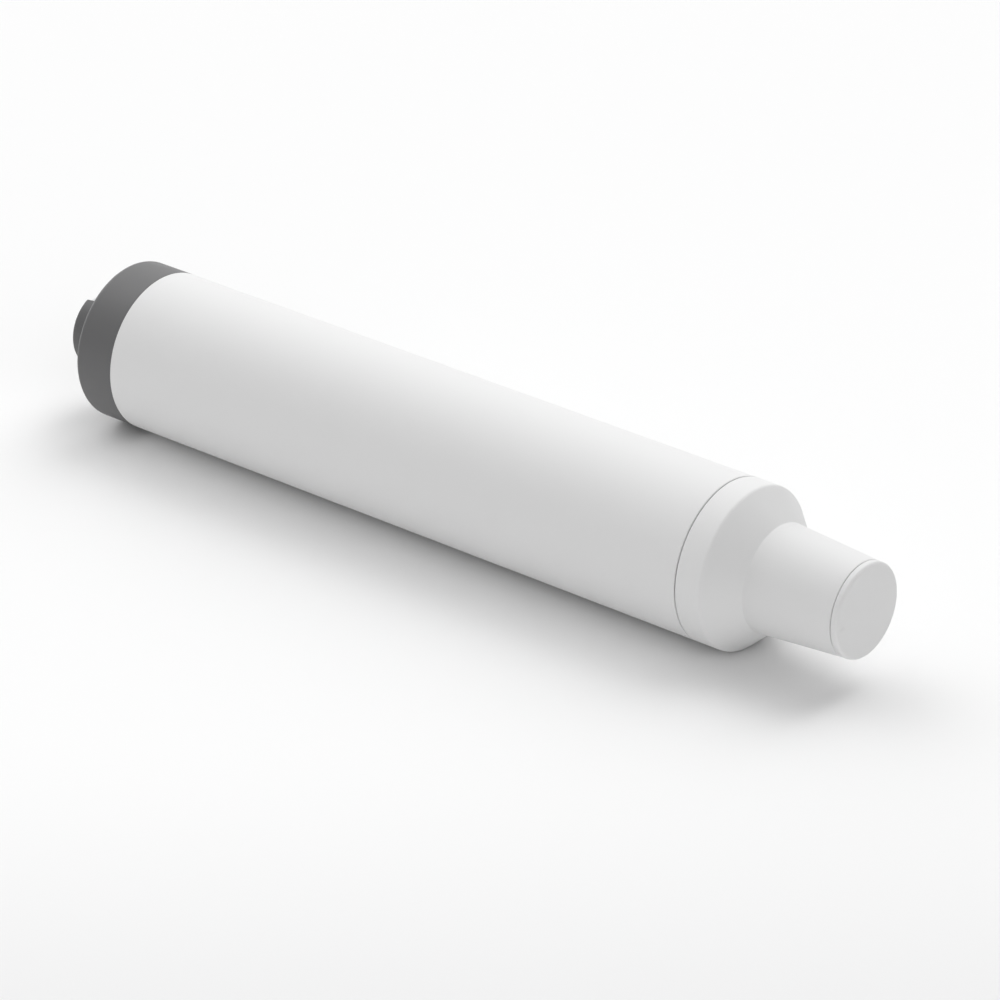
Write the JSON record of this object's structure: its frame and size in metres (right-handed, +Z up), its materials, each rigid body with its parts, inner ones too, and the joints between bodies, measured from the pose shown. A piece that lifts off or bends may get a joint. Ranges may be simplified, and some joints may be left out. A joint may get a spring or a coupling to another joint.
{
  "type": "inline water filter",
  "caption": "Tubular inline water filter on its side: white tube, grey screw cap with inlet port, and a tapered outlet neck closed by a pull-off dust cap.",
  "frame": {"origin": "bottom centre of the bounding box, on the line where the tube rests, half way along the overall length", "axes": "+X along the filter's axis from inlet to outlet, +Z up, the filter lying on its side"},
  "size_m": [0.2504, 0.042, 0.042],
  "materials": {
    "white_shell": "smooth satin moulding",
    "grey_shell": "smooth satin moulding",
    "seal_rubber": "moulded, slightly greased",
    "stainless": "drawn or stamped",
    "steel_mesh": "woven wire",
    "acetal": "moulded, low sheen",
    "natural_plastic": "unpigmented moulding",
    "foam": "open-cell foam",
    "carbon_granules": "packed granules",
    "felt": "needled felt"
  },
  "bodies": {
    "housing": {"housing_tube": "white_shell", "outlet_head": "white_shell", "head_oring": "seal_rubber", "foam_pad": "foam", "carbon_bed": "carbon_granules", "sediment_pad": "felt", "outlet_mesh": "steel_mesh", "support_plate": "natural_plastic", "outlet_port_oring": "seal_rubber", "outlet_port_spacer": "acetal", "outlet_grab_ring": "stainless"},
    "cap_seal": {"cap_oring": "seal_rubber"},
    "inlet_cap": {"inlet_cap": "grey_shell", "inlet_strainer": "stainless", "inlet_port_oring": "seal_rubber", "inlet_port_spacer": "acetal", "inlet_grab_ring": "stainless"},
    "inlet_collet": {"inlet_collet": "acetal"},
    "pressure_plate": {"pressure_plate": "natural_plastic", "pressure_mesh": "steel_mesh", "bed_spring": "stainless"},
    "outlet_collet": {"outlet_collet": "acetal"},
    "dust_cap": {"dust_cap": "white_shell"}
  },
  "joints": [
    {"name": "cap_travel", "type": "slide", "parent": "housing", "child": "cap_seal", "axis": [-1, 0, 0], "range_m": [0, 0.008]},
    {"name": "cap_turn", "type": "hinge", "parent": "cap_seal", "child": "inlet_cap", "pos_m": [0, 0, 0.021], "axis": [-1, 0, 0], "range_deg": [0, 1440], "deforming": ["bed_spring"]},
    {"name": "plate_settle", "type": "slide", "parent": "housing", "child": "pressure_plate", "axis": [1, 0, 0], "range_m": [0, 0.003], "stiffness_N_per_m": 1500, "deforming": ["bed_spring", "foam_pad"]},
    {"name": "inlet_collet_press", "type": "slide", "parent": "inlet_cap", "child": "inlet_collet", "axis": [1, 0, 0], "range_m": [0, 0.001], "stiffness_N_per_m": 400},
    {"name": "outlet_collet_press", "type": "slide", "parent": "housing", "child": "outlet_collet", "axis": [-1, 0, 0], "range_m": [0, 0.001], "stiffness_N_per_m": 400},
    {"name": "dust_cap_pull", "type": "slide", "parent": "housing", "child": "dust_cap", "axis": [1, 0, 0], "range_m": [0, 0.016]}
  ],
  "couplings": [
    {"joint": "cap_travel", "follows": "cap_turn", "m_per_rad": 0.00031831}
  ]
}
